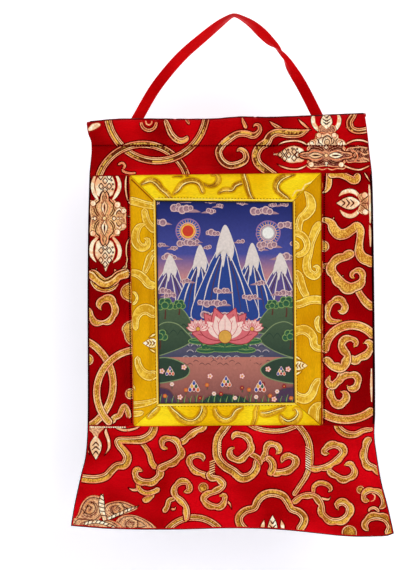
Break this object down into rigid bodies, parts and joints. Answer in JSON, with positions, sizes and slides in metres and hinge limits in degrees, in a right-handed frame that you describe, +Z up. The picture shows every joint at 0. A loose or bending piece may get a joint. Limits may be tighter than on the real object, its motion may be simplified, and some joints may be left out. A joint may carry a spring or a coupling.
{
  "type": "thangka scroll painting",
  "caption": "Small hanging scroll: picture cloth framed in yellow strips and red brocade, with a rod sleeve, flared skirt, dark lining and ribbon loop.",
  "frame": {"origin": "inside of the ribbon's crease, where a hook or nail carries the scroll", "axes": "+Z up, +X to the viewer's right, -Y out of the picture towards the viewer"},
  "size_m": [0.3222, 0.0161, 0.5237],
  "materials": {
    "lining_dark": "matt dark lining cloth",
    "picture_cloth": "printed canvas, slightly smooth",
    "yellow_light": "yellow brocade with gold motifs",
    "yellow_deep": "yellow brocade seen across its weave",
    "satin_red": "red satin brocade with gold motifs",
    "side_red": "red satin brocade seen across its weave",
    "ribbon_red": "red satin ribbon"
  },
  "bodies": {
    "root": {"lining": "lining_dark", "picture": "picture_cloth", "border_top": "yellow_light", "border_bottom": "yellow_light", "border_left": "yellow_deep", "border_right": "yellow_deep", "top_panel": "satin_red", "bottom_panel": "satin_red", "side_panel_left": "side_red", "side_panel_right": "side_red", "ribbon": "ribbon_red"}
  },
  "joints": []
}
